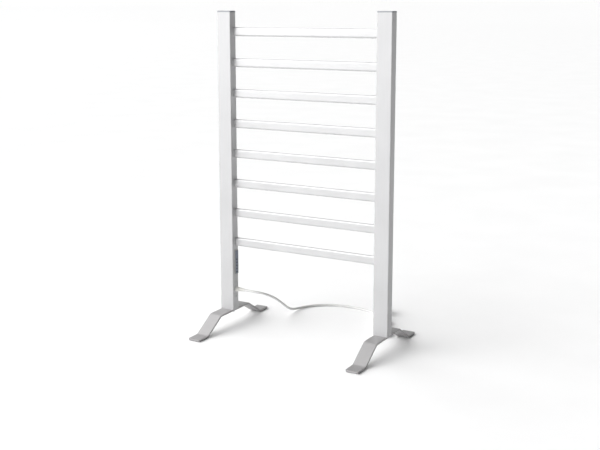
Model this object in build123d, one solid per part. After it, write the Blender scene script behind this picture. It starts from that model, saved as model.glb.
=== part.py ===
"""Free-standing electric towel warmer rack: two posts, eight heated rungs and two arched feet.

Millimetres. +X runs along the rungs, -Y is the front, +Z is up. The origin is on the floor,
midway between the posts and midway along the feet.
"""
import math
import os

from build123d import *

# ---- driving dimensions -------------------------------------------------------------------
RACK_WIDTH = 530.0
RACK_DEPTH = 360.0
RACK_HEIGHT = 900.0

POST_WIDTH = 43.0
POST_DEPTH = 28.0
POST_WALL = 1.6
POST_CORNER = 2.0
CAP_HEIGHT = 4.0

RUNG_COUNT = 8
RUNG_PITCH = 85.0
LOWEST_RUNG_Z = 247.8
RUNG_HEIGHT = 24.0
RUNG_DEPTH = 11.0
RUNG_CORNER = 4.5
RUNG_WALL = 1.2
RUNG_Y = 6.5
RUNG_INSERT = 12.0

FOOT_WIDTH = 37.0
FOOT_THICKNESS = 5.0
FOOT_TOP = 48.0
FOOT_FLAT_HALF = 71.5
FOOT_PAD_START = 138.0
FOOT_BEND_RADIUS = 14.0
FOOT_TIP_CORNER = 3.0
PAD_THICKNESS = 1.5

PANEL_Y = 3.5
PANEL_Z = 188.0
PANEL_WIDTH = 17.0
PANEL_HEIGHT = 70.0
BUTTON_Z = 211.5
BUTTON_WIDTH = 9.4
BUTTON_HEIGHT = 14.0
BUTTON_TRAVEL = 0.8
LENS_COUNT = 5
LENS_TOP_Z = 195.6
LENS_PITCH = 9.2
LENS_RADIUS = 2.5

CORD_RADIUS = 3.5
OUTLET_Z = 107.4
CLAMP_SCREW_OFFSET = 21.6
BOOT_LENGTH = 26.0

# ---- worked out from them -----------------------------------------------------------------
POST_X = (RACK_WIDTH - POST_WIDTH) / 2
INNER_FACE = RACK_WIDTH / 2 - POST_WIDTH
POST_BOTTOM = FOOT_TOP
POST_TOP = RACK_HEIGHT - CAP_HEIGHT
WALL_INSIDE = INNER_FACE + POST_WALL
REAR_FACE = POST_DEPTH / 2
RUNG_LEVELS = [LOWEST_RUNG_Z + RUNG_PITCH * i for i in reversed(range(RUNG_COUNT))]
RUNG_END = INNER_FACE + RUNG_INSERT
LENS_LEVELS = [LENS_TOP_Z - LENS_PITCH * i for i in range(LENS_COUNT)]
SIDES = {"left": -1, "right": 1}

# ---- fits and small features --------------------------------------------------------------
CLEARANCE = 0.2
CUT = 1.0
INNER_CORNER = 1.0
CAP_EDGE = 2.2
SPIGOT_LENGTH = 11.0
SPIGOT_WALL = 1.8
INSERT_WIDTH = POST_WIDTH - 2 * POST_WALL - CLEARANCE
INSERT_DEPTH = POST_DEPTH - 2 * POST_WALL - CLEARANCE
SCREW_SLOT = 0.7
SCREW_SLOT_DEPTH = 0.8
SLOT_MARGIN = 1.0

# ---- feet and their bolts -----------------------------------------------------------------
BOTTOM_PLUG_TOP = FOOT_TOP + 22.0
BOLT_SPREAD = 11.0
BOLT_RADIUS = 2.5
BOLT_REACH = 16.0
BOLT_HEAD_RADIUS = 4.4
BOLT_HEAD_HEIGHT = 3.2
BOLT_SOCKET_RADIUS = 1.9
BOLT_SOCKET_DEPTH = 1.8
WASHER_RADIUS = 5.5
WASHER_THICKNESS = 1.0
PAD_INSET = 4.0
PAD_END_GAP = 2.0
PAD_SIDE_GAP = 1.0
PAD_CORNER = 4.0
EARTH_SCREW_RADIUS = 2.0
EARTH_SCREW_DEPTH = 9.0
EARTH_RING_RADIUS = 4.0
EARTH_RING_THICKNESS = 1.0
EARTH_TAB_LENGTH = 8.0
EARTH_TAB_HALF = 1.5
EARTH_HEAD_RADIUS = 3.5
EARTH_HEAD_HEIGHT = 2.4

# ---- rung fastenings and heater -----------------------------------------------------------
RUNG_SCREW_INSET = 6.0
RUNG_SCREW_DROP = 5.0
RUNG_SCREW_RADIUS = 1.5
RUNG_SCREW_TIP_Y = 3.5
RUNG_SCREW_HEAD_RADIUS = 3.0
RUNG_SCREW_HEAD_HEIGHT = 1.8
END_PLUG_LENGTH = 16.0
END_PLUG_GAP = 0.1
HEATER_RADIUS = 2.0
HEATER_TURN_X = 248.0
HEATER_BEND = 9.0
HEATER_TOP_END = -HEATER_TURN_X + 8.0
HEATER_LOW_END = LOWEST_RUNG_Z - 12.0
SPLICE_LENGTH = 12.0
SPLICE_RADIUS = 2.8
LEAD_RADIUS = 1.0
LEAD_BEND = 3.5
LEAD_LANE_X = -POST_X - 14.5
LEAD_END_X = -INNER_FACE - 11.8
LONG_LEAD_Z = 200.0
SHORT_LEAD_Z = 208.0
FUSE_BOTTOM = 300.0
FUSE_LENGTH = 16.0
FUSE_RADIUS = 2.6

# ---- control panel ------------------------------------------------------------------------
FASCIA_FRONT = -INNER_FACE + 2.2
FASCIA_THICKNESS = 0.8
FASCIA_GAP = 0.2
BEZEL_CORNER = 2.0
BEZEL_EDGE = 0.6
BEZEL_RIM = 1.3
BEZEL_BOX_INSET = 3.4
BEZEL_BOX_DEPTH = 12.0
BEZEL_BOX_WALL = 1.0
PANEL_HOLE_INSET = 3.2
BUTTON_CORNER = 1.3
BUTTON_GAP = 0.3
BUTTON_PROUD = 1.0
BUTTON_EDGE = 0.4
BUTTON_FLANGE = 0.7
BUTTON_FLANGE_THICKNESS = 0.8
BUTTON_STEM_RADIUS = 1.5
BUTTON_STEM_DEPTH = 5.0
SWITCH_HALF = 3.0
SWITCH_HEIGHT = 3.5
SWITCH_PLUNGER_RADIUS = 1.6
SWITCH_GAP = 0.3
LENS_GAP = 0.1
LENS_PROUD = 0.35
LENS_EDGE = 0.3
LED_HEIGHT = 0.8
LED_HALF_WIDTH = 1.5
LED_HALF_HEIGHT = 1.0
BOARD_FRONT = -INNER_FACE - 10.0
BOARD_THICKNESS = 1.6
BOARD_INSET = 5.6
RELAY_HEIGHT = 9.5
RELAY_HALF_WIDTH = 5.0
RELAY_Z = (160.0, 179.0)

# ---- mains connection inside the left post ------------------------------------------------
OUTLET_RADIUS = 6.0
BOOT_COLLAR_RADIUS = 7.5
BOOT_COLLAR = 2.0
BOOT_ROOT_RADIUS = 6.2
BOOT_TIP_RADIUS = 4.2
BOOT_SEAT = 2.4
RIB_COUNT = 5
RIB_START = 6.0
RIB_PITCH = 3.6
RIB_WIDTH = 1.3
RIB_FLOOR_RADIUS = 4.4
CLAMP_FRONT = -WALL_INSIDE
CLAMP_DEPTH = 12.4
CLAMP_HALF_WIDTH = 7.0
CLAMP_HALF_HEIGHT = 27.0
CLAMP_SCREW_RADIUS = 1.5
CLAMP_SCREW_LENGTH = 8.0
CLAMP_HEAD_RADIUS = 2.8
CLAMP_HEAD_HEIGHT = 1.6
CLAMP_HEAD_EDGE = 0.6
TAIL_END = -242.0
CORE_RADIUS = 0.8
CORE_BEND = 4.0
CORE_SPACING = 2.0
BLOCK_X = (-261.0, -251.0)
BLOCK_MIDDLE_X = sum(BLOCK_X) / 2
BLOCK_HALF_WIDTH = 8.0
BLOCK_TOP = BOTTOM_PLUG_TOP + 16.0
POLE_SPACING = 5.0
POLE_RADIUS = 1.6
POLE_DROP = 5.0
POLE_DEPTH = 4.0
BOARD_LEAD_SPACING = 4.7
BOARD_LEAD_Z = 190.0
EARTH_LEAD_X = -POST_X + 6.8
EARTH_LEAD_Z = BOTTOM_PLUG_TOP + 8.5
EARTH_LEAD_BEND = 3.0

# ---- route of the cord from its boot to the hank ------------------------------------------
CORD_START = (-INNER_FACE + BOOT_COLLAR + BOOT_LENGTH, PANEL_Y, OUTLET_Z)
FLOOR_Z = CORD_RADIUS
CORD_ROUTE = [
    CORD_START,
    (-164, PANEL_Y, OUTLET_Z),
    (-139, 20, 101),
    (-126, 52, 84),
    (-125, 92, 58),
    (-131, 135, 31),
    (-138, 180, 10),
    (-136, 226, FLOOR_Z),
    (-113, 270, FLOOR_Z),
    (-67, 299, FLOOR_Z),
    (-10, 311, FLOOR_Z),
    (44, 305, FLOOR_Z + 0.2),
    (76, 292, FLOOR_Z + 0.4),
    (98, 268, FLOOR_Z + 0.6),
]
ARC_SHARE = 0.45

# ---- hank of the put-away length, close behind the right post -----------------------------
HANK_AXIS = Vector(-0.4174, 0.9087, 0)
HANK_SIDE = Vector(0.9087, 0.4174, 0)
HANK_ORIGIN = Vector(POST_X, 0, 0)
HANK_MIDDLE = 190.0
HANK_TURNS = 3
HANK_RUN = 30 * CORD_RADIUS
HANK_LANE = 6 * CORD_RADIUS
HANK_LOBE_RADIUS = HANK_LANE + CORD_RADIUS
HANK_WAIST_HALF = 2 * CORD_RADIUS + 0.3
HANK_HEIGHT = 2 * CORD_RADIUS * HANK_TURNS + 0.3
TIE_WIDTH = 9.0
TIE_THICKNESS = 0.9
HANK_BOTTOM = TIE_THICKNESS
HANK_FAR_LOBE = HANK_MIDDLE + HANK_RUN / 2
HANK_ENTRY = HANK_FAR_LOBE + 31.0
HANK_ENTRY_LANE = -HANK_LANE + 0.8

# ---- plug ---------------------------------------------------------------------------------
PLUG_START = 294.0
PLUG_OFFSET = 6.0
PLUG_RADIUS = 18.75
PLUG_LEAD_LENGTH = PLUG_START - HANK_FAR_LOBE - HANK_LOBE_RADIUS + 3.0
PLUG_BOOT_LENGTH = 24.0
PLUG_BOOT_RADII = (4.6, 7.5)
PLUG_GRIP = ((11.5, 31.0), (12.5, 40.0))
PLUG_SHOULDER = 45.0
PLUG_RIM = 62.0
PLUG_FACE = 64.0
PLUG_RIM_EDGE = 1.15
GROOVE_CENTRE = 18.2
GROOVE_WIDTH = 7.0
GROOVE_DEPTH = 5.0
GROOVE_LENGTH = 30.0
GROOVE_MIDDLE = 55.0
PIN_RADIUS = 2.4
PIN_LENGTH = 19.0
PIN_SPACING = 19.0
PIN_SEAT = 10.0
PIN_TIP_EDGE = 1.6
CONTACT_CENTRE = 16.1
CONTACT_SIZE = (4.6, 0.8, 16.0)

parts = {}


# ---- helpers ------------------------------------------------------------------------------
def block(x, y, z):
    """Box from (low, high) pairs along the three axes."""
    size = [high - low for low, high in (x, y, z)]
    middle = [(high + low) / 2 for low, high in (x, y, z)]
    return Pos(*middle) * Box(*size)


def bar_x(x, y, z, radius):
    """Round bar parallel to X between the two values of x."""
    return Pos(sum(x) / 2, y, z) * Rot(0, 90, 0) * Cylinder(radius, abs(x[1] - x[0]))


def bar_y(x, y, z, radius):
    """Round bar parallel to Y between the two values of y."""
    return Pos(x, sum(y) / 2, z) * Rot(90, 0, 0) * Cylinder(radius, abs(y[1] - y[0]))


def bar_z(x, y, z, radius):
    """Round bar parallel to Z between the two values of z."""
    return Pos(x, y, sum(z) / 2) * Cylinder(radius, abs(z[1] - z[0]))


def rounded_x(x, y, z, depth, height, corner):
    """Bar parallel to X with a rounded rectangular section, depth along Y and height along Z."""
    start = Plane(origin=(min(x), y, z), x_dir=(0, 1, 0), z_dir=(1, 0, 0))
    return extrude(start * RectangleRounded(depth, height, corner), amount=abs(x[1] - x[0]))


def rounded_z(x, y, z, width, depth, corner):
    """Block with a rounded rectangular plan between the two values of z."""
    return extrude(Pos(x, y, min(z)) * RectangleRounded(width, depth, corner), amount=abs(z[1] - z[0]))


def swept_round(path, radius):
    """Round wire along a smooth path."""
    return sweep(Plane(origin=path @ 0, z_dir=path % 0) * Circle(radius), path=path)


def wire(points, radius, bend):
    """Round wire through points, with the same bend radius at each corner."""
    return swept_round(FilletPolyline(*points, radius=bend), radius)


def group(shapes):
    """Separate solids that share one node."""
    return Compound(children=[solid for shape in shapes for solid in shape.solids()])


# ---- posts --------------------------------------------------------------------------------
def post(side):
    """Rectangular hollow post, with openings for the rungs and the rung screws."""
    x = side * POST_X
    levels = (POST_BOTTOM, POST_TOP)
    body = rounded_z(x, 0, levels, POST_WIDTH, POST_DEPTH, POST_CORNER)
    body -= rounded_z(x, 0, levels, POST_WIDTH - 2 * POST_WALL, POST_DEPTH - 2 * POST_WALL, INNER_CORNER)
    through = (side * (INNER_FACE - CUT), side * (WALL_INSIDE + CUT))
    rear_wall = (REAR_FACE - POST_WALL - CUT, REAR_FACE + CUT)
    for z in RUNG_LEVELS:
        body -= rounded_x(through, RUNG_Y, z, RUNG_DEPTH, RUNG_HEIGHT, RUNG_CORNER)
        x = side * (INNER_FACE + RUNG_SCREW_INSET)
        body -= bar_y(x, rear_wall, z - RUNG_SCREW_DROP, RUNG_SCREW_RADIUS)
    return body


def left_post_openings():
    """Holes in the left post's inner face for the control panel, the cord and its clamp screws."""
    through = (-WALL_INSIDE - CUT, -INNER_FACE + CUT)
    size = (PANEL_WIDTH - PANEL_HOLE_INSET, PANEL_HEIGHT - PANEL_HOLE_INSET)
    cuts = rounded_x(through, PANEL_Y, PANEL_Z, *size, BUTTON_CORNER)
    cuts += bar_x(through, PANEL_Y, OUTLET_Z, OUTLET_RADIUS)
    for offset in (-CLAMP_SCREW_OFFSET, CLAMP_SCREW_OFFSET):
        cuts += bar_x(through, PANEL_Y, OUTLET_Z + offset, CLAMP_SCREW_RADIUS)
    return cuts


def top_cap(side):
    """Thin cap with a softened top edge and a hollow spigot that plugs into the post."""
    x = side * POST_X
    plate = rounded_z(x, 0, (POST_TOP, RACK_HEIGHT), POST_WIDTH, POST_DEPTH, POST_CORNER)
    plate = fillet(plate.faces().sort_by(Axis.Z)[-1].edges(), CAP_EDGE)
    levels = (POST_TOP - SPIGOT_LENGTH, POST_TOP)
    hollow = (INSERT_WIDTH - 2 * SPIGOT_WALL, INSERT_DEPTH - 2 * SPIGOT_WALL)
    spigot = rounded_z(x, 0, levels, INSERT_WIDTH, INSERT_DEPTH, INNER_CORNER)
    return plate + spigot - rounded_z(x, 0, levels, *hollow, INNER_CORNER)


def bottom_plug(side):
    """Metal block pressed into the post's lower end, tapped for the two foot bolts."""
    x = side * POST_X
    body = rounded_z(x, 0, (FOOT_TOP, BOTTOM_PLUG_TOP), INSERT_WIDTH, INSERT_DEPTH, INNER_CORNER)
    for dx in (-BOLT_SPREAD, BOLT_SPREAD):
        body -= bar_z(x + dx, 0, (FOOT_TOP - CUT, FOOT_TOP + BOLT_REACH + CUT), BOLT_RADIUS)
    return body


def earth_screw_hole():
    """Blind hole in the left bottom plug for the earth screw."""
    levels = (BOTTOM_PLUG_TOP - EARTH_SCREW_DEPTH - CUT, BOTTOM_PLUG_TOP + CUT)
    return bar_z(-POST_X, 0, levels, EARTH_SCREW_RADIUS)


# ---- feet ---------------------------------------------------------------------------------
def foot(side):
    """Flat bar bent into an arch, with a level top under the post and level tips."""
    middle_top = FOOT_TOP - FOOT_THICKNESS / 2
    middle_tip = PAD_THICKNESS + FOOT_THICKNESS / 2
    half = RACK_DEPTH / 2
    x = side * POST_X
    points = [
        (x, -half, middle_tip),
        (x, -FOOT_PAD_START, middle_tip),
        (x, -FOOT_FLAT_HALF, middle_top),
        (x, FOOT_FLAT_HALF, middle_top),
        (x, FOOT_PAD_START, middle_tip),
        (x, half, middle_tip),
    ]
    path = FilletPolyline(*points, radius=FOOT_BEND_RADIUS)
    section = Plane(origin=points[0], x_dir=(1, 0, 0), z_dir=(0, 1, 0))
    body = sweep(section * Rectangle(FOOT_WIDTH, FOOT_THICKNESS), path=path)
    tips = body.edges().filter_by(Axis.Z).filter_by(lambda e: abs(e.center().Y) > half - CUT)
    body = fillet(tips, FOOT_TIP_CORNER)
    for dx in (-BOLT_SPREAD, BOLT_SPREAD):
        body -= bar_z(x + dx, 0, (FOOT_TOP - FOOT_THICKNESS - CUT, FOOT_TOP + CUT), BOLT_RADIUS)
    return body


def foot_pads():
    """Rubber pads under the four tips; the rack stands on them."""
    near = FOOT_PAD_START + PAD_INSET
    length = RACK_DEPTH / 2 - PAD_END_GAP - near
    y = near + length / 2
    width = FOOT_WIDTH - 2 * PAD_SIDE_GAP
    return group(
        rounded_z(sx * POST_X, sy * y, (0, PAD_THICKNESS), width, length, PAD_CORNER)
        for sx in SIDES.values() for sy in (-1, 1)
    )


def bolt_places():
    """Plan positions of the four foot bolts."""
    return [(x + dx, 0) for x in (-POST_X, POST_X) for dx in (-BOLT_SPREAD, BOLT_SPREAD)]


def foot_bolts():
    """Four bolts from below, two for each foot."""
    under = FOOT_TOP - FOOT_THICKNESS - WASHER_THICKNESS
    low = under - BOLT_HEAD_HEIGHT
    shapes = []
    for x, y in bolt_places():
        head = bar_z(x, y, (low, under), BOLT_HEAD_RADIUS)
        head -= Pos(x, y, low) * extrude(RegularPolygon(BOLT_SOCKET_RADIUS, 6), amount=BOLT_SOCKET_DEPTH)
        shapes.append(head + bar_z(x, y, (under, FOOT_TOP + BOLT_REACH), BOLT_RADIUS))
    return group(shapes)


def foot_washers():
    """Four washers between the bolt heads and the feet."""
    under = FOOT_TOP - FOOT_THICKNESS
    levels = (under - WASHER_THICKNESS, under)
    return group(
        bar_z(x, y, levels, WASHER_RADIUS) - bar_z(x, y, levels, BOLT_RADIUS) for x, y in bolt_places()
    )


# ---- rungs and heater ---------------------------------------------------------------------
def rung(z):
    """Rounded rectangular tube between the posts, with a screw hole near each end."""
    reach = (-RUNG_END, RUNG_END)
    body = rounded_x(reach, RUNG_Y, z, RUNG_DEPTH, RUNG_HEIGHT, RUNG_CORNER)
    bore = (RUNG_DEPTH - 2 * RUNG_WALL, RUNG_HEIGHT - 2 * RUNG_WALL)
    body -= rounded_x(reach, RUNG_Y, z, *bore, RUNG_CORNER - RUNG_WALL)
    rear = RUNG_Y + RUNG_DEPTH / 2
    for side in SIDES.values():
        x = side * (INNER_FACE + RUNG_SCREW_INSET)
        body -= bar_y(x, (rear - RUNG_WALL - CUT, rear + CUT), z - RUNG_SCREW_DROP, RUNG_SCREW_RADIUS)
    return body


def rung_end_plugs():
    """Plastic plugs in both ends of each rung, which hold the screw and pass the heating cable."""
    shapes = []
    shrink = 2 * RUNG_WALL + END_PLUG_GAP
    for z in RUNG_LEVELS:
        for side in SIDES.values():
            span = (side * (RUNG_END - END_PLUG_LENGTH), side * RUNG_END)
            size = (RUNG_DEPTH - shrink, RUNG_HEIGHT - shrink)
            plug = rounded_x(span, RUNG_Y, z, *size, RUNG_CORNER - RUNG_WALL)
            plug -= bar_x(span, RUNG_Y, z, HEATER_RADIUS + CLEARANCE)
            x = side * (INNER_FACE + RUNG_SCREW_INSET)
            hole = (RUNG_SCREW_TIP_Y, REAR_FACE)
            shapes.append(plug - bar_y(x, hole, z - RUNG_SCREW_DROP, RUNG_SCREW_RADIUS))
    return group(shapes)


def rung_screws():
    """Sixteen pan-head screws through the posts' rear faces into the rung ends."""
    shapes = []
    slot = SCREW_SLOT / 2
    reach = RUNG_SCREW_HEAD_RADIUS - SLOT_MARGIN
    top = REAR_FACE + RUNG_SCREW_HEAD_HEIGHT
    deep = (top - SCREW_SLOT_DEPTH, top + CUT)
    for level in RUNG_LEVELS:
        z = level - RUNG_SCREW_DROP
        for side in SIDES.values():
            x = side * (INNER_FACE + RUNG_SCREW_INSET)
            head = bar_y(x, (REAR_FACE, top), z, RUNG_SCREW_HEAD_RADIUS)
            head -= block((x - reach, x + reach), deep, (z - slot, z + slot))
            head -= block((x - slot, x + slot), deep, (z - reach, z + reach))
            shapes.append(head + bar_y(x, (RUNG_SCREW_TIP_Y, REAR_FACE), z, RUNG_SCREW_RADIUS))
    return group(shapes)


def heating_cable():
    """One heating cable that runs to and fro through all the rungs and turns inside the posts."""
    points = []
    for i, z in enumerate(RUNG_LEVELS):
        start = -HEATER_TURN_X if i % 2 == 0 else HEATER_TURN_X
        points += [(start, RUNG_Y, z), (-start, RUNG_Y, z)]
    points[0] = (HEATER_TOP_END, RUNG_Y, RUNG_LEVELS[0])
    points.append((-HEATER_TURN_X, RUNG_Y, HEATER_LOW_END))
    return wire(points, HEATER_RADIUS, HEATER_BEND)


def heater_splices():
    """Crimp sleeves between the heating cable's two ends and the cold leads."""
    return group([
        bar_x((HEATER_TOP_END - SPLICE_LENGTH, HEATER_TOP_END), RUNG_Y, RUNG_LEVELS[0], SPLICE_RADIUS),
        bar_z(-HEATER_TURN_X, RUNG_Y, (HEATER_LOW_END - SPLICE_LENGTH, HEATER_LOW_END), SPLICE_RADIUS),
    ])


def heater_leads():
    """Cold leads from the two splices to the control board."""
    top = RUNG_LEVELS[0]
    long_lead = [
        (HEATER_TOP_END - SPLICE_LENGTH, RUNG_Y, top),
        (LEAD_LANE_X, RUNG_Y, top),
        (LEAD_LANE_X, RUNG_Y, LONG_LEAD_Z),
        (LEAD_END_X, RUNG_Y, LONG_LEAD_Z),
    ]
    short_lead = [
        (-HEATER_TURN_X, RUNG_Y, HEATER_LOW_END - SPLICE_LENGTH),
        (-HEATER_TURN_X, RUNG_Y, SHORT_LEAD_Z),
        (LEAD_END_X, RUNG_Y, SHORT_LEAD_Z),
    ]
    return group([wire(lead, LEAD_RADIUS, LEAD_BEND) for lead in (long_lead, short_lead)])


def thermal_fuse():
    """Sleeved thermal fuse on the long cold lead."""
    levels = (FUSE_BOTTOM, FUSE_BOTTOM + FUSE_LENGTH)
    return bar_z(LEAD_LANE_X, RUNG_Y, levels, FUSE_RADIUS) - bar_z(LEAD_LANE_X, RUNG_Y, levels, LEAD_RADIUS)


# ---- control panel ------------------------------------------------------------------------
def button_window(x):
    """Opening round the push button."""
    size = (BUTTON_WIDTH + 2 * BUTTON_GAP, BUTTON_HEIGHT + 2 * BUTTON_GAP)
    return rounded_x(x, PANEL_Y, BUTTON_Z, *size, BUTTON_CORNER + BUTTON_GAP)


def without_openings(body, x):
    """The body less the openings for the button and the lenses, between the two values of x."""
    body -= button_window(x)
    for z in LENS_LEVELS:
        body -= bar_x(x, PANEL_Y, z, LENS_RADIUS + LENS_GAP)
    return body


def panel_bezel():
    """Frame on the post's inner face, with a walled box behind it that goes into the post."""
    face = rounded_x((-INNER_FACE, FASCIA_FRONT), PANEL_Y, PANEL_Z, PANEL_WIDTH, PANEL_HEIGHT, BEZEL_CORNER)
    face = fillet(face.faces().sort_by(Axis.X)[-1].edges(), BEZEL_EDGE)
    tray = (FASCIA_FRONT - FASCIA_THICKNESS, FASCIA_FRONT + CUT)
    tray_size = (PANEL_WIDTH - 2 * BEZEL_RIM, PANEL_HEIGHT - 2 * BEZEL_RIM)
    face -= rounded_x(tray, PANEL_Y, PANEL_Z, *tray_size, BEZEL_CORNER - BEZEL_EDGE)
    span = (-INNER_FACE - BEZEL_BOX_DEPTH, -INNER_FACE)
    outer = (PANEL_WIDTH - BEZEL_BOX_INSET, PANEL_HEIGHT - BEZEL_BOX_INSET)
    inner = [size - 2 * BEZEL_BOX_WALL for size in outer]
    box = rounded_x(span, PANEL_Y, PANEL_Z, *outer, BEZEL_CORNER - BEZEL_EDGE)
    box -= rounded_x(span, PANEL_Y, PANEL_Z, *inner, INNER_CORNER)
    return without_openings(face + box, (-INNER_FACE - CUT, FASCIA_FRONT))


def panel_fascia():
    """Dark overlay plate in the bezel's tray."""
    span = (FASCIA_FRONT - FASCIA_THICKNESS, FASCIA_FRONT)
    shrink = 2 * BEZEL_RIM + FASCIA_GAP
    size = (PANEL_WIDTH - shrink, PANEL_HEIGHT - shrink)
    plate = rounded_x(span, PANEL_Y, PANEL_Z, *size, BEZEL_CORNER - BEZEL_EDGE)
    return without_openings(plate, span)


def power_button():
    """Push button with a retaining flange and a stem that presses the switch."""
    flange_top = -INNER_FACE - BUTTON_GAP
    flange_span = (flange_top - BUTTON_FLANGE_THICKNESS, flange_top)
    cap_span = (flange_top, FASCIA_FRONT + BUTTON_PROUD)
    cap = rounded_x(cap_span, PANEL_Y, BUTTON_Z, BUTTON_WIDTH, BUTTON_HEIGHT, BUTTON_CORNER)
    cap = fillet(cap.faces().sort_by(Axis.X)[-1].edges(), BUTTON_EDGE)
    flange_size = (BUTTON_WIDTH + 2 * BUTTON_FLANGE, BUTTON_HEIGHT + 2 * BUTTON_FLANGE)
    flange = rounded_x(flange_span, PANEL_Y, BUTTON_Z, *flange_size, BUTTON_CORNER)
    stem = bar_x((-INNER_FACE - BUTTON_STEM_DEPTH, flange_span[0]), PANEL_Y, BUTTON_Z, BUTTON_STEM_RADIUS)
    return cap + flange + stem


def button_switch():
    """Tactile switch on the board, behind the button's stem."""
    top = BOARD_FRONT + SWITCH_HEIGHT
    across = (PANEL_Y - SWITCH_HALF, PANEL_Y + SWITCH_HALF)
    base = block((BOARD_FRONT, top), across, (BUTTON_Z - SWITCH_HALF, BUTTON_Z + SWITCH_HALF))
    plunger_top = -INNER_FACE - BUTTON_STEM_DEPTH - BUTTON_TRAVEL - SWITCH_GAP
    return base + bar_x((top, plunger_top), PANEL_Y, BUTTON_Z, SWITCH_PLUNGER_RADIUS)


def indicator_lenses():
    """Light pipes with softened round fronts."""
    shapes = []
    span = (BOARD_FRONT + LED_HEIGHT + LENS_GAP, FASCIA_FRONT + LENS_PROUD)
    for z in LENS_LEVELS:
        pipe = bar_x(span, PANEL_Y, z, LENS_RADIUS)
        shapes.append(fillet(pipe.faces().sort_by(Axis.X)[-1].edges(), LENS_EDGE))
    return group(shapes)


def indicator_leds():
    """Small lamps on the board behind the light pipes."""
    span = (BOARD_FRONT, BOARD_FRONT + LED_HEIGHT)
    across = (PANEL_Y - LED_HALF_WIDTH, PANEL_Y + LED_HALF_WIDTH)
    return group(block(span, across, (z - LED_HALF_HEIGHT, z + LED_HALF_HEIGHT)) for z in LENS_LEVELS)


def control_board():
    """Circuit board held in the bezel's box."""
    size = (PANEL_WIDTH - BOARD_INSET, PANEL_HEIGHT - BOARD_INSET)
    return rounded_x((BOARD_FRONT - BOARD_THICKNESS, BOARD_FRONT), PANEL_Y, PANEL_Z, *size, INNER_CORNER)


def board_relay():
    """Relay on the back of the board."""
    back = BOARD_FRONT - BOARD_THICKNESS
    across = (PANEL_Y - RELAY_HALF_WIDTH, PANEL_Y + RELAY_HALF_WIDTH)
    return block((back - RELAY_HEIGHT, back), across, RELAY_Z)


# ---- mains connection inside the left post ------------------------------------------------
def strain_relief():
    """Flexible tapered boot round the cord, locked in the post's wall."""
    face = -INNER_FACE
    collar = face + BOOT_COLLAR
    tip = CORD_START[0]
    seat = CLAMP_FRONT - BOOT_SEAT
    outline = [
        (seat, 0), (seat, OUTLET_RADIUS), (face, OUTLET_RADIUS), (face, BOOT_COLLAR_RADIUS),
        (collar, BOOT_COLLAR_RADIUS), (collar, BOOT_ROOT_RADIUS), (tip, BOOT_TIP_RADIUS), (tip, 0),
    ]
    profile = make_face(Polyline(*[(x, 0, r) for x, r in outline], close=True))
    body = revolve(profile, axis=Axis.X, revolution_arc=360)
    for i in range(RIB_COUNT):
        x = face + RIB_START + RIB_PITCH * i
        span = (x, x + RIB_WIDTH)
        body -= bar_x(span, 0, 0, BOOT_COLLAR_RADIUS) - bar_x(span, 0, 0, RIB_FLOOR_RADIUS)
    body -= bar_x((seat - CUT, tip + CUT), 0, 0, CORD_RADIUS)
    return Pos(0, PANEL_Y, OUTLET_Z) * body


def cord_clamp():
    """Block behind the post's face that grips the cord."""
    across = (PANEL_Y - CLAMP_HALF_WIDTH, PANEL_Y + CLAMP_HALF_WIDTH)
    upright = (OUTLET_Z - CLAMP_HALF_HEIGHT, OUTLET_Z + CLAMP_HALF_HEIGHT)
    body = block((CLAMP_FRONT - CLAMP_DEPTH, CLAMP_FRONT), across, upright)
    body -= bar_x((CLAMP_FRONT - CLAMP_DEPTH, CLAMP_FRONT), PANEL_Y, OUTLET_Z, CORD_RADIUS)
    body -= bar_x((CLAMP_FRONT - BOOT_SEAT, CLAMP_FRONT), PANEL_Y, OUTLET_Z, OUTLET_RADIUS)
    screw_hole = (CLAMP_FRONT - CLAMP_SCREW_LENGTH - CUT, CLAMP_FRONT)
    for offset in (-CLAMP_SCREW_OFFSET, CLAMP_SCREW_OFFSET):
        body -= bar_x(screw_hole, PANEL_Y, OUTLET_Z + offset, CLAMP_SCREW_RADIUS)
    return body


def clamp_screws():
    """Two pan-head screws through the post's inner face into the clamp."""
    shapes = []
    face = -INNER_FACE
    top = face + CLAMP_HEAD_HEIGHT
    slot = SCREW_SLOT / 2
    reach = CLAMP_HEAD_RADIUS - SLOT_MARGIN
    deep = (top - SCREW_SLOT_DEPTH, top + CUT)
    for offset in (-CLAMP_SCREW_OFFSET, CLAMP_SCREW_OFFSET):
        z = OUTLET_Z + offset
        head = bar_x((face, top), PANEL_Y, z, CLAMP_HEAD_RADIUS)
        head = fillet(head.faces().sort_by(Axis.X)[-1].edges(), CLAMP_HEAD_EDGE)
        head -= block(deep, (PANEL_Y - reach, PANEL_Y + reach), (z - slot, z + slot))
        head -= block(deep, (PANEL_Y - slot, PANEL_Y + slot), (z - reach, z + reach))
        tip = CLAMP_FRONT - CLAMP_SCREW_LENGTH
        shapes.append(head + bar_x((tip, face), PANEL_Y, z, CLAMP_SCREW_RADIUS))
    return group(shapes)


def cord_tail():
    """Sheathed end of the cord inside the boot, the clamp and the post."""
    return bar_x((TAIL_END, CORD_START[0]), PANEL_Y, OUTLET_Z, CORD_RADIUS)


def cord_cores():
    """Three insulated cores from the sheath's end to the terminal block."""
    x = BLOCK_MIDDLE_X
    return group(
        wire([(TAIL_END, y, OUTLET_Z), (x, y, OUTLET_Z), (x, y, BLOCK_TOP)], CORE_RADIUS, CORE_BEND)
        for y in (PANEL_Y - CORE_SPACING, PANEL_Y, PANEL_Y + CORE_SPACING)
    )


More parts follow.
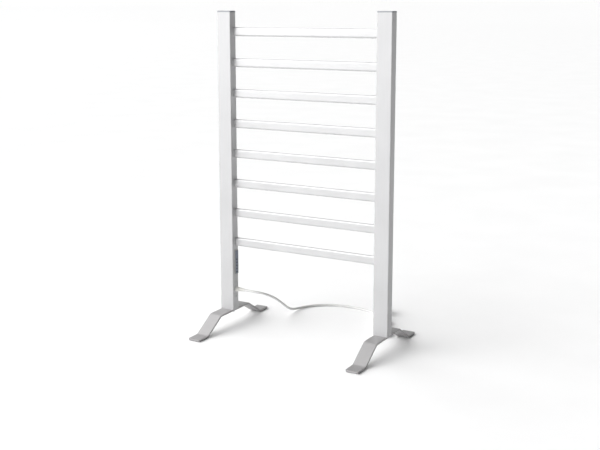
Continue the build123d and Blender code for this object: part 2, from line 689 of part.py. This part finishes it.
def terminal_block():
    """Three-pole terminal block on the bottom plug."""
    across = (PANEL_Y - BLOCK_HALF_WIDTH, PANEL_Y + BLOCK_HALF_WIDTH)
    body = block(BLOCK_X, across, (BOTTOM_PLUG_TOP, BLOCK_TOP))
    for dy in (-POLE_SPACING, 0, POLE_SPACING):
        pole = (BLOCK_X[1] - POLE_DEPTH, BLOCK_X[1] + CUT)
        body -= bar_x(pole, PANEL_Y + dy, BLOCK_TOP - POLE_DROP, POLE_RADIUS)
    return body


def board_leads():
    """Two leads from the terminal block to the control board."""
    x = BLOCK_MIDDLE_X
    end = BOARD_FRONT - BOARD_THICKNESS - CLEARANCE
    return group(
        wire([(x, y, BLOCK_TOP), (x, y, BOARD_LEAD_Z), (end, y, BOARD_LEAD_Z)], CORE_RADIUS, CORE_BEND)
        for y in (PANEL_Y - BOARD_LEAD_SPACING, PANEL_Y + BOARD_LEAD_SPACING)
    )


def earth_screw():
    """Screw and ring terminal that bond the frame to earth."""
    ring_top = BOTTOM_PLUG_TOP + EARTH_RING_THICKNESS
    ring = bar_z(-POST_X, 0, (BOTTOM_PLUG_TOP, ring_top), EARTH_RING_RADIUS)
    tab_span = (-POST_X, -POST_X + EARTH_TAB_LENGTH)
    tab = block(tab_span, (-EARTH_TAB_HALF, EARTH_TAB_HALF), (BOTTOM_PLUG_TOP, ring_top))
    head = bar_z(-POST_X, 0, (ring_top, ring_top + EARTH_HEAD_HEIGHT), EARTH_HEAD_RADIUS)
    shank = bar_z(-POST_X, 0, (BOTTOM_PLUG_TOP - EARTH_SCREW_DEPTH, BOTTOM_PLUG_TOP), EARTH_SCREW_RADIUS)
    return ring + tab + head + shank


def earth_lead():
    """Lead from the terminal block to the ring terminal."""
    points = [
        (BLOCK_X[1], 0, EARTH_LEAD_Z),
        (EARTH_LEAD_X, 0, EARTH_LEAD_Z),
        (EARTH_LEAD_X, 0, BOTTOM_PLUG_TOP + EARTH_RING_THICKNESS),
    ]
    return wire(points, CORE_RADIUS, EARTH_LEAD_BEND)


# ---- cord, hank and plug ------------------------------------------------------------------
def on_hank(along, aside, z):
    """Point given by its distance along the hank's axis, its offset to the side and its height."""
    return HANK_ORIGIN + HANK_AXIS * along + HANK_SIDE * aside + Vector(0, 0, z)


def cord_points():
    """The hand-made route, then the last points that bring the cord into the hank's far end."""
    entry = [
        on_hank(HANK_ENTRY, HANK_ENTRY_LANE, FLOOR_Z + HANK_BOTTOM - 0.1),
        on_hank(HANK_FAR_LOBE, -HANK_LANE, FLOOR_Z + HANK_BOTTOM),
    ]
    return [Vector(*p) for p in CORD_ROUTE] + entry


def cord_radii(points):
    """The largest arc that each corner's two runs allow."""
    radii = []
    for before, corner, after in zip(points, points[1:], points[2:]):
        run_in = corner - before
        run_out = after - corner
        turn = math.radians(run_in.get_angle(run_out))
        radii.append(ARC_SHARE * min(run_in.length, run_out.length) / math.tan(turn / 2))
    return radii


def power_cord():
    """Round cord from the boot to the hank, as straight runs joined by tangent arcs."""
    points = cord_points()
    radii = cord_radii(points)
    path = FilletPolyline(*points, radius=radii)
    cord = swept_round(path, CORD_RADIUS)
    print("cord runs", [round((b - a).length, 1) for a, b in zip(points, points[1:])])
    print("cord radii", [round(r, 1) for r in radii])
    length_by_volume = cord.volume / (math.pi * CORD_RADIUS**2)
    print("cord length", round(path.length, 1), "by volume", round(length_by_volume, 1))
    return cord


def hank_plane(along, z):
    """Horizontal plane on the hank's axis, with its x direction along the axis."""
    return Plane(origin=on_hank(along, 0, z), x_dir=HANK_AXIS, z_dir=(0, 0, 1))


def cord_hank():
    """Outer shape of the folded cord: round end loops and a waist where the tie holds it."""
    quarter = [
        (HANK_RUN / 2, HANK_LOBE_RADIUS),
        (TIE_WIDTH, HANK_WAIST_HALF),
        (-TIE_WIDTH, HANK_WAIST_HALF),
        (-HANK_RUN / 2, HANK_LOBE_RADIUS),
    ]
    outline = quarter + [(-along, -aside) for along, aside in quarter]
    plan = make_face(Polyline(*outline, close=True))
    for end in (-1, 1):
        plan += Pos(end * HANK_RUN / 2, 0) * Circle(HANK_LOBE_RADIUS)
    return extrude(hank_plane(HANK_MIDDLE, HANK_BOTTOM) * plan, amount=HANK_HEIGHT)


def hank_tie():
    """Flat tie round the hank's waist."""
    width = 2 * HANK_WAIST_HALF
    outer = Box(TIE_WIDTH, width + 2 * TIE_THICKNESS, HANK_HEIGHT + 2 * TIE_THICKNESS)
    band = outer - Box(TIE_WIDTH, width, HANK_HEIGHT)
    return hank_plane(HANK_MIDDLE, HANK_BOTTOM + HANK_HEIGHT / 2) * band


def plug_plane():
    """Plane at the plug's cord end, with its normal along the plug's axis."""
    return Plane(origin=on_hank(PLUG_START, PLUG_OFFSET, PLUG_RADIUS), x_dir=(0, 0, 1), z_dir=HANK_AXIS)


def plug_lead():
    """Short straight stretch of cord between the hank's far end and the plug."""
    return plug_plane() * Pos(0, 0, -PLUG_LEAD_LENGTH / 2) * Cylinder(CORD_RADIUS, PLUG_LEAD_LENGTH)


def plug_boot():
    """Tapered boot where the cord enters the plug."""
    return plug_plane() * Pos(0, 0, PLUG_BOOT_LENGTH / 2) * Cone(*PLUG_BOOT_RADII, PLUG_BOOT_LENGTH)


def plug_body():
    """Round two-pin earthed plug with a grip that narrows towards the cord."""
    outline = [
        (0, PLUG_BOOT_LENGTH), (PLUG_BOOT_RADII[1], PLUG_BOOT_LENGTH), *PLUG_GRIP,
        (PLUG_RADIUS, PLUG_SHOULDER), (PLUG_RADIUS, PLUG_RIM), (PLUG_RADIUS - PLUG_RIM_EDGE, PLUG_FACE),
        (0, PLUG_FACE),
    ]
    profile = make_face(Polyline(*[(r, 0, z) for r, z in outline], close=True))
    body = revolve(profile, axis=Axis.Z, revolution_arc=360)
    for side in (-1, 1):
        body -= Pos(0, side * GROOVE_CENTRE, GROOVE_MIDDLE) * Box(GROOVE_WIDTH, GROOVE_DEPTH, GROOVE_LENGTH)
        seat = Cylinder(PIN_RADIUS, PIN_SEAT + CUT)
        body -= Pos(side * PIN_SPACING / 2, 0, PLUG_FACE - (PIN_SEAT - CUT) / 2) * seat
    return plug_plane() * body


def plug_pins():
    """Two round contact pins with rounded tips."""
    shapes = []
    length = PIN_SEAT + PIN_LENGTH
    for side in (-1, 1):
        pin = Cylinder(PIN_RADIUS, length)
        pin = fillet(pin.faces().sort_by(Axis.Z)[-1].edges(), PIN_TIP_EDGE)
        middle = PLUG_FACE - PIN_SEAT + length / 2
        shapes.append(plug_plane() * Pos(side * PIN_SPACING / 2, 0, middle) * pin)
    return group(shapes)


def plug_earth_contacts():
    """Two spring contacts in the side grooves."""
    return group(
        plug_plane() * Pos(0, side * CONTACT_CENTRE, GROOVE_MIDDLE) * Box(*CONTACT_SIZE) for side in (-1, 1)
    )


# ---- assembly -----------------------------------------------------------------------------
def build():
    """Fill the table of nodes."""
    parts["left_post"] = post(SIDES["left"]) - left_post_openings()
    parts["right_post"] = post(SIDES["right"])
    parts["left_bottom_plug"] = bottom_plug(SIDES["left"]) - earth_screw_hole()
    parts["right_bottom_plug"] = bottom_plug(SIDES["right"])
    for name, side in SIDES.items():
        parts[f"{name}_top_cap"] = top_cap(side)
        parts[f"{name}_foot"] = foot(side)
    for i, z in enumerate(RUNG_LEVELS):
        parts[f"rung_{i + 1}"] = rung(z)
    for make in (
        foot_pads, foot_bolts, foot_washers, rung_end_plugs, rung_screws, heating_cable, heater_splices,
        heater_leads, thermal_fuse, panel_bezel, panel_fascia, power_button, button_switch,
        indicator_lenses, indicator_leds, control_board, board_relay, strain_relief, cord_clamp,
        clamp_screws, cord_tail, cord_cores, terminal_block, board_leads, earth_screw, earth_lead,
        power_cord, cord_hank, hank_tie, plug_lead, plug_boot, plug_body, plug_pins, plug_earth_contacts,
    ):
        parts[make.__name__] = make()


build()
os.makedirs("parts", exist_ok=True)
for name, shape in parts.items():
    export_step(shape, f"parts/{name}.step")
print(len(parts), "nodes")
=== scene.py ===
"""Looks of the free-standing electric towel warmer rack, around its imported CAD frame.

Metres, in the frame of the CAD: +X runs along the rungs, -Y is the front, +Z is up.
"""
import math

import bpy
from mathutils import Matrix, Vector


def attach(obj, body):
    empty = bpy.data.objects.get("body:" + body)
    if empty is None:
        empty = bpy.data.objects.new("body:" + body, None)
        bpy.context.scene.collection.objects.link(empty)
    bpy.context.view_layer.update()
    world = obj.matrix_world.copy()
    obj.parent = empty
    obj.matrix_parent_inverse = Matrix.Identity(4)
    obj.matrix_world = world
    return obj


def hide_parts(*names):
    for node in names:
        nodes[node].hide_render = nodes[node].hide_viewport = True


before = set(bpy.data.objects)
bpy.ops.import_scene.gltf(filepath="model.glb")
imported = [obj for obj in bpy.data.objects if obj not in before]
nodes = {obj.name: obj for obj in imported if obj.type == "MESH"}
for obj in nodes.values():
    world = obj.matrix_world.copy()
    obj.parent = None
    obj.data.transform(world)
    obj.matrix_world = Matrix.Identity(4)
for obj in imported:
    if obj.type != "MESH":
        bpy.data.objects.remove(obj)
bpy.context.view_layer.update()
scene = bpy.context.scene

# ---- camera -------------------------------------------------------------------------------
CAMERA_AZIMUTH = math.radians(29.66)
CAMERA_ELEVATION = math.radians(9.92)
CAMERA_DISTANCE = 2.675
CAMERA_TARGET = Vector((-0.0088, 0.0, 0.4457))
CAMERA_LENS = 58.92
CAMERA_SHIFT_Y = -0.075


def direction(azimuth, elevation):
    """Unit vector from the object towards a place round it."""
    flat = math.cos(elevation)
    return Vector((math.sin(azimuth) * flat, -math.cos(azimuth) * flat, math.sin(elevation)))


def make_camera():
    data = bpy.data.cameras.new("camera")
    data.lens = CAMERA_LENS
    data.shift_y = CAMERA_SHIFT_Y
    camera = bpy.data.objects.new("camera", data)
    back = direction(CAMERA_AZIMUTH, CAMERA_ELEVATION)
    camera.location = CAMERA_TARGET + back * CAMERA_DISTANCE
    camera.rotation_euler = (-back).to_track_quat("-Z", "Y").to_euler()
    scene.collection.objects.link(camera)
    scene.camera = camera


make_camera()

# ---- cord ---------------------------------------------------------------------------------
CORD_RADIUS = 0.0035
FLOOR_Z = CORD_RADIUS
CORD_EXIT = (-0.194, 0.0035, 0.1074)
CORD_ROUTE = [
    CORD_EXIT,
    (-0.164, 0.0035, 0.1074),
    (-0.139, 0.020, 0.101),
    (-0.126, 0.052, 0.084),
    (-0.125, 0.092, 0.058),
    (-0.131, 0.135, 0.031),
    (-0.138, 0.180, 0.010),
    (-0.136, 0.226, FLOOR_Z),
    (-0.113, 0.270, FLOOR_Z),
    (-0.067, 0.299, FLOOR_Z),
    (-0.010, 0.311, FLOOR_Z),
    (0.044, 0.305, FLOOR_Z + 0.0002),
    (0.076, 0.292, FLOOR_Z + 0.0004),
    (0.098, 0.268, FLOOR_Z + 0.0006),
]
HANK_AXIS = Vector((-0.4174, 0.9087, 0))
HANK_SIDE = Vector((0.9087, 0.4174, 0))
HANK_ORIGIN = Vector((0.2435, 0, 0))
HANK_MIDDLE = 0.190
HANK_TURNS = 3
HANK_HALF_RUN = 15 * CORD_RADIUS
HANK_LANE = 6 * CORD_RADIUS
HANK_WAIST_LANE = 0.00365
HANK_BOTTOM = 0.0009
RUN_POINTS = 8
LOOP_POINTS = 5
PLUG_START = 0.294
PLUG_OFFSET = 0.006
PLUG_HEIGHT = 0.01875


def on_hank(along, aside, z):
    """Point given by its distance along the hank's axis, its offset to the side and its height."""
    return HANK_ORIGIN + HANK_AXIS * along + HANK_SIDE * aside + Vector((0, 0, z))


def run_points(side, heading, height, count=RUN_POINTS):
    """Control points of one run between the end loops, drawn in towards the waist by the tie."""
    points = []
    for i in range(count):
        along = heading * HANK_HALF_RUN * (2 * (i + 0.5) / RUN_POINTS - 1)
        spread = (1 - math.cos(math.pi * along / HANK_HALF_RUN)) / 2
        aside = side * (HANK_WAIST_LANE + (HANK_LANE - HANK_WAIST_LANE) * spread)
        points.append(on_hank(HANK_MIDDLE + along, aside, height))
    return points


def loop_points(end, side, height, rise=0.0):
    """Control points of one end loop that starts on the given side and rises by rise as it turns."""
    step = math.pi / LOOP_POINTS
    radius = HANK_LANE / math.cos(step / 2)
    points = []
    for i in range(LOOP_POINTS):
        angle = step * (i + 0.5)
        along = HANK_MIDDLE + end * (HANK_HALF_RUN + radius * math.sin(angle))
        share = max(0, i - 1) / (LOOP_POINTS - 1)
        points.append(on_hank(along, side * radius * math.cos(angle), height + rise * share))
    return points


def hank_points():
    """Control points of the turns: one side, the near loop, the other side, the far loop."""
    points = []
    thickness = 2 * CORD_RADIUS
    for turn in range(HANK_TURNS):
        height = HANK_BOTTOM + CORD_RADIUS + thickness * turn
        points += run_points(-1, -1, height) + loop_points(-1, -1, height)
        if turn < HANK_TURNS - 1:
            points += run_points(1, 1, height) + loop_points(1, 1, height, thickness)
        else:
            points += run_points(1, 1, height, RUN_POINTS // 2 + 1)
    return points


def cord_points():
    """The listed route, the hank's turns, and the last stretch over the far loop into the plug."""
    far_loop = HANK_MIDDLE + HANK_HALF_RUN
    entry = [
        on_hank(far_loop + 0.031, 0.0008 - HANK_LANE, FLOOR_Z + 0.0008),
        on_hank(far_loop, -HANK_LANE, FLOOR_Z + HANK_BOTTOM),
    ]
    last = [
        on_hank(0.214, 0.0043, 0.0186),
        on_hank(0.234, 0.0050, 0.0187),
        on_hank(0.254, 0.0055, PLUG_HEIGHT),
        on_hank(0.275, 0.0059, PLUG_HEIGHT),
        on_hank(PLUG_START, PLUG_OFFSET, PLUG_HEIGHT),
        on_hank(PLUG_START + 0.006, PLUG_OFFSET, PLUG_HEIGHT),
    ]
    return [Vector(p) for p in CORD_ROUTE] + entry + hank_points() + last


def make_cord():
    data = bpy.data.curves.new("mains_cord", "CURVE")
    data.dimensions = "3D"
    data.bevel_depth = 1.0
    data.bevel_resolution = 6
    data.resolution_u = 8
    data.use_fill_caps = True
    spline = data.splines.new("NURBS")
    points = cord_points()
    spline.points.add(len(points) - 1)
    for place, point in zip(points, spline.points):
        point.co = (*place, 1.0)
        point.radius = CORD_RADIUS
    spline.order_u = 3
    spline.use_endpoint_u = True
    cord = bpy.data.objects.new("mains_cord", data)
    scene.collection.objects.link(cord)
    return cord


cord = make_cord()
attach(cord, "rack")
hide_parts("power_cord", "cord_hank", "plug_lead")


# ---- materials ----------------------------------------------------------------------------
BEVEL_SAMPLES = 4
METAL_SHADE = 0.07
PLASTIC_SHADE = 0.08
PAINT_EDGE = 0.0006


def set_range(node, start, stop, low, high):
    """Make a Map Range node take start..stop to low..high."""
    node.inputs["From Min"].default_value = start
    node.inputs["From Max"].default_value = stop
    node.inputs["To Min"].default_value = low
    node.inputs["To Max"].default_value = high


def darker(colour, share):
    """Colour with a share of its light taken away."""
    return tuple(c * (1 - share) for c in colour)


class Shader:
    """A Principled material with short helpers for its node tree."""

    def __init__(self, name, colour, roughness, metallic=0.0, **extra):
        self.material = bpy.data.materials.new(name)
        self.material.use_nodes = True
        self.tree = self.material.node_tree
        self.bsdf = self.tree.nodes["Principled BSDF"]
        self.set("Base Color", (*colour, 1.0))
        self.set("Roughness", roughness)
        self.set("Metallic", metallic)
        for socket, value in extra.items():
            self.set(socket.replace("_", " "), value)
        self.coords = self.tree.nodes.new("ShaderNodeTexCoord").outputs["Object"]

    def set(self, socket, value):
        self.bsdf.inputs[socket].default_value = value

    def link(self, output, socket):
        self.tree.links.new(output, socket)

    def stretched(self, scale):
        """Object coordinates scaled by three numbers, so that a texture runs along one axis."""
        mapping = self.tree.nodes.new("ShaderNodeMapping")
        mapping.inputs["Scale"].default_value = scale
        self.link(self.coords, mapping.inputs["Vector"])
        return mapping.outputs["Vector"]

    def noise(self, scale, detail=4.0, stretch=(1, 1, 1)):
        texture = self.tree.nodes.new("ShaderNodeTexNoise")
        texture.inputs["Scale"].default_value = scale
        texture.inputs["Detail"].default_value = detail
        self.link(self.stretched(stretch), texture.inputs["Vector"])
        return texture.outputs["Fac"]

    def span(self, value, low, high, start=0.3, stop=0.7):
        """Value mapped from start..stop to low..high."""
        node = self.tree.nodes.new("ShaderNodeMapRange")
        set_range(node, start, stop, low, high)
        self.link(value, node.inputs["Value"])
        return node.outputs["Result"]

    def roughness(self, value, low, high):
        self.link(self.span(value, low, high), self.bsdf.inputs["Roughness"])

    def colours(self, value, low, high, start=0.35, stop=0.65):
        """Base colour that runs from low to high with value."""
        ramp = self.tree.nodes.new("ShaderNodeValToRGB")
        ramp.color_ramp.elements[0].position = start
        ramp.color_ramp.elements[1].position = stop
        ramp.color_ramp.elements[0].color = (*low, 1.0)
        ramp.color_ramp.elements[1].color = (*high, 1.0)
        self.link(value, ramp.inputs["Fac"])
        self.link(ramp.outputs["Color"], self.bsdf.inputs["Base Color"])

    def bump(self, value, strength, distance, edge=0.0):
        """Bump from value, over rounded edges where edge is the radius in metres."""
        node = self.tree.nodes.new("ShaderNodeBump")
        node.inputs["Strength"].default_value = strength
        node.inputs["Distance"].default_value = distance
        self.link(value, node.inputs["Height"])
        if edge:
            soft = self.tree.nodes.new("ShaderNodeBevel")
            soft.samples = BEVEL_SAMPLES
            soft.inputs["Radius"].default_value = edge
            self.link(soft.outputs["Normal"], node.inputs["Normal"])
        self.link(node.outputs["Normal"], self.bsdf.inputs["Normal"])

    def add(self, first, second, share):
        """first plus share times second."""
        node = self.tree.nodes.new("ShaderNodeMath")
        node.operation = "MULTIPLY_ADD"
        node.inputs[1].default_value = share
        self.link(second, node.inputs[0])
        self.link(first, node.inputs[2])
        return node.outputs["Value"]


def satin_metal(name, colour, along, roughness):
    """Satin anodised extrusion: fine lines along one axis, faint clouding and a light grain."""
    s = Shader(name, colour, 0.4, metallic=0.4)
    lines = {"x": (1.2, 90, 90), "z": (90, 90, 1.2)}[along]
    streaks = s.noise(14.0, 3.0, lines)
    clouds = s.noise(9.0, 3.0)
    grain = s.noise(2600.0, 2.0)
    s.colours(s.add(clouds, streaks, 0.6), darker(colour, METAL_SHADE), colour, 0.6, 1.0)
    s.roughness(s.add(clouds, streaks, 0.3), *roughness)
    s.bump(s.add(streaks, grain, 0.8), 0.3, 0.00012)
    return s.material


def painted_steel(name, colour):
    """Satin silver paint with a slight orange peel over softened edges."""
    s = Shader(name, colour, 0.5, metallic=0.3)
    peel = s.noise(420.0, 2.0)
    clouds = s.noise(14.0, 3.0)
    s.colours(clouds, darker(colour, 0.05), colour)
    s.roughness(clouds, 0.46, 0.56)
    s.bump(peel, 0.3, 0.00012, edge=PAINT_EDGE)
    return s.material


def moulded(name, colour, roughness=(0.45, 0.6), grain=1500.0, depth=0.00006):
    """Moulded plastic with a spark-eroded grain and slight colour variation."""
    s = Shader(name, colour, 0.5)
    fine = s.noise(grain, 3.0)
    clouds = s.noise(60.0, 3.0)
    s.colours(clouds, darker(colour, PLASTIC_SHADE), colour)
    s.roughness(clouds, *roughness)
    s.bump(fine, 0.5, depth)
    return s.material


def soft_pvc(name, colour):
    """Soft sheath: satin plastic with faint surface marks and clouding."""
    s = Shader(name, colour, 0.45, Sheen_Weight=0.05)
    marks = s.noise(220.0, 3.0)
    clouds = s.noise(28.0, 4.0)
    s.colours(clouds, darker(colour, 0.07), colour)
    s.roughness(marks, 0.38, 0.52)
    s.bump(marks, 0.15, 0.0001)
    return s.material


def plated(name, colour, roughness=(0.22, 0.36)):
    """Plated metal with fine wear."""
    s = Shader(name, colour, 0.3, metallic=1.0)
    wear = s.noise(900.0, 4.0)
    s.colours(wear, darker(colour, 0.15), colour)
    s.roughness(wear, *roughness)
    s.bump(wear, 0.1, 0.00003)
    return s.material


def laminate(name, colour):
    """Solder-masked board with faint tracks."""
    s = Shader(name, colour, 0.35)
    tracks = s.tree.nodes.new("ShaderNodeTexVoronoi")
    tracks.feature = "DISTANCE_TO_EDGE"
    tracks.distance = "MANHATTAN"
    tracks.inputs["Scale"].default_value = 320.0
    s.link(s.coords, tracks.inputs["Vector"])
    s.colours(tracks.outputs["Distance"], tuple(c * 1.5 for c in colour), colour, 0.04, 0.1)
    s.roughness(s.noise(200.0), 0.3, 0.45)
    return s.material


def make_materials():
    return {
        "post": satin_metal("satin_post", (0.525, 0.525, 0.531), "z", (0.42, 0.52)),
        "rung": satin_metal("satin_rung", (0.575, 0.575, 0.58), "x", (0.3, 0.4)),
        "cap": moulded("cap_grey", (0.30, 0.31, 0.33), (0.42, 0.55), 1800.0),
        # Foot colour set darker than the silver of the posts: painted shade standing in for the dark
        # look of the feet's top faces under the light.
        "foot": painted_steel("foot_paint_and_painted_shade", (0.365, 0.358, 0.361)),
        "pad": moulded("pad_rubber", (0.05, 0.05, 0.053), (0.7, 0.85), 900.0, 0.0001),
        "screw": plated("zinc_screw", (0.60, 0.60, 0.62)),
        "cast": plated("cast_block", (0.62, 0.63, 0.64), (0.4, 0.55)),
        "inner": moulded("inner_black", (0.05, 0.05, 0.055)),
        "heater": soft_pvc("heater_silicone", (0.42, 0.07, 0.05)),
        "crimp": plated("crimp_brass", (0.72, 0.55, 0.28)),
        "lead": soft_pvc("lead_cream", (0.68, 0.62, 0.48)),
        "bezel": moulded("bezel_grey", (0.36, 0.355, 0.35), (0.45, 0.6), 2200.0, 0.00004),
        "fascia": moulded("fascia_slate", (0.165, 0.19, 0.25), (0.28, 0.4), 2600.0, 0.00005),
        "button": moulded("button_slate", (0.215, 0.24, 0.30), (0.4, 0.5), 2200.0, 0.00008),
        "lens": moulded("lens_smoke", (0.035, 0.04, 0.05), (0.08, 0.16), 400.0, 0.00001),
        "led": moulded("led_amber", (0.75, 0.42, 0.08), (0.15, 0.3)),
        "board": laminate("board_green", (0.02, 0.14, 0.05)),
        "relay": moulded("relay_blue", (0.03, 0.08, 0.28), (0.25, 0.4)),
        "cord": soft_pvc("cord_sheath", (0.70, 0.70, 0.69)),
        "boot": soft_pvc("boot_cream", (0.74, 0.735, 0.70)),
        "plug": moulded("plug_shell", (0.70, 0.70, 0.69), (0.42, 0.55), 1700.0, 0.00005),
        "pin": plated("pin_nickel", (0.78, 0.77, 0.75), (0.16, 0.26)),
        "tie": moulded("tie_black", (0.03, 0.03, 0.032), (0.6, 0.8), 1200.0, 0.0001),
    }


RUNGS = [f"rung_{i + 1}" for i in range(8)]
MATERIAL_OF = {
    "left_post": "post", "right_post": "post", "left_top_cap": "cap", "right_top_cap": "cap",
    "left_foot": "foot", "right_foot": "foot", "foot_pads": "pad", "foot_bolts": "screw",
    "foot_washers": "screw", "left_bottom_plug": "cast", "right_bottom_plug": "cast",
    "rung_end_plugs": "inner", "rung_screws": "screw", "heating_cable": "heater",
    "heater_splices": "crimp", "heater_leads": "lead", "thermal_fuse": "inner", "panel_bezel": "bezel",
    "panel_fascia": "fascia", "power_button": "button", "button_switch": "inner",
    "indicator_lenses": "lens", "indicator_leds": "led", "control_board": "board",
    "board_relay": "relay", "strain_relief": "boot", "cord_clamp": "inner", "clamp_screws": "screw",
    "cord_tail": "cord", "cord_cores": "lead", "terminal_block": "inner", "board_leads": "lead",
    "earth_screw": "screw", "earth_lead": "lead", "hank_tie": "tie", "plug_boot": "plug",
    "plug_body": "plug", "plug_pins": "pin", "plug_earth_contacts": "pin",
}
MATERIAL_OF.update({name: "rung" for name in RUNGS})

materials = make_materials()
for node, key in MATERIAL_OF.items():
    nodes[node].data.materials.clear()
    nodes[node].data.materials.append(materials[key])
cord.data.materials.append(materials["cord"])


# ---- studio -------------------------------------------------------------------------------
FLOOR_HALF = 150.0
FLOOR_FLAT = 60.0
FLOOR_RIM = 3.0
BRIGHT_SIDE = (-0.9, -0.43, 0.1)
WORLD_DARK = 0.12
WORLD_BRIGHT = 3.3
WORLD_START = -0.05
WORLD_STOP = 0.85
FLOOR_STEPS = 48
FLOOR_MIDDLE = 0.5
KEY_AZIMUTH = math.radians(-38)
KEY_ELEVATION = math.radians(20)
KEY_DISTANCE = 2.6
KEY_SIZE = (1.2, 1.6)
KEY_POWER = 9
KEY_TARGET = Vector((0, 0, 0.45))


def make_floor():
    """Large pale floor with a very fine mottle."""
    mesh = bpy.data.meshes.new("studio_floor")
    steps = FLOOR_STEPS
    rings = ((FLOOR_MIDDLE, 0.0), (FLOOR_FLAT, 0.0), (FLOOR_HALF, FLOOR_RIM))
    turns = [2 * math.pi * i / steps for i in range(steps)]
    places = [(r * math.cos(t), r * math.sin(t), z) for r, z in rings for t in turns]
    faces = [tuple(range(steps))]
    for ring in range(len(rings) - 1):
        for i in range(steps):
            near, far = ring * steps, (ring + 1) * steps
            j = (i + 1) % steps
            faces.append((near + i, far + i, far + j, near + j))
    mesh.from_pydata(places, [], faces)
    floor = bpy.data.objects.new("studio_floor", mesh)
    scene.collection.objects.link(floor)
    s = Shader("studio_paper", (0.9, 0.9, 0.9), 0.9)
    s.set("Specular IOR Level", 0.2)
    s.colours(s.noise(3.0), (0.92, 0.92, 0.92), (0.94, 0.94, 0.94))
    mesh.materials.append(s.material)


def make_key_light():
    """Soft box to the front left."""
    data = bpy.data.lights.new("key", "AREA")
    data.shape = "RECTANGLE"
    data.size, data.size_y = KEY_SIZE
    data.energy = KEY_POWER
    light = bpy.data.objects.new("key", data)
    back = direction(KEY_AZIMUTH, KEY_ELEVATION)
    light.location = KEY_TARGET + back * KEY_DISTANCE
    light.rotation_euler = (-back).to_track_quat("-Z", "Y").to_euler()
    scene.collection.objects.link(light)


def make_world():
    """Soft studio surround: bright to the front left, dark to the right and the rear right."""
    world = bpy.data.worlds.new("studio")
    world.use_nodes = True
    tree = world.node_tree
    coords = tree.nodes.new("ShaderNodeTexCoord")
    facing = tree.nodes.new("ShaderNodeVectorMath")
    facing.operation = "DOT_PRODUCT"
    facing.inputs[1].default_value = Vector(BRIGHT_SIDE).normalized()
    spread = tree.nodes.new("ShaderNodeMapRange")
    spread.interpolation_type = "SMOOTHSTEP"
    set_range(spread, WORLD_START, WORLD_STOP, WORLD_DARK, WORLD_BRIGHT)
    background = tree.nodes["Background"]
    background.inputs["Color"].default_value = (1.0, 1.0, 1.0, 1.0)
    tree.links.new(coords.outputs["Generated"], facing.inputs[0])
    tree.links.new(facing.outputs["Value"], spread.inputs["Value"])
    tree.links.new(spread.outputs["Result"], background.inputs["Strength"])
    scene.world = world


make_floor()
make_world()
make_key_light()
scene.view_settings.view_transform = "Standard"
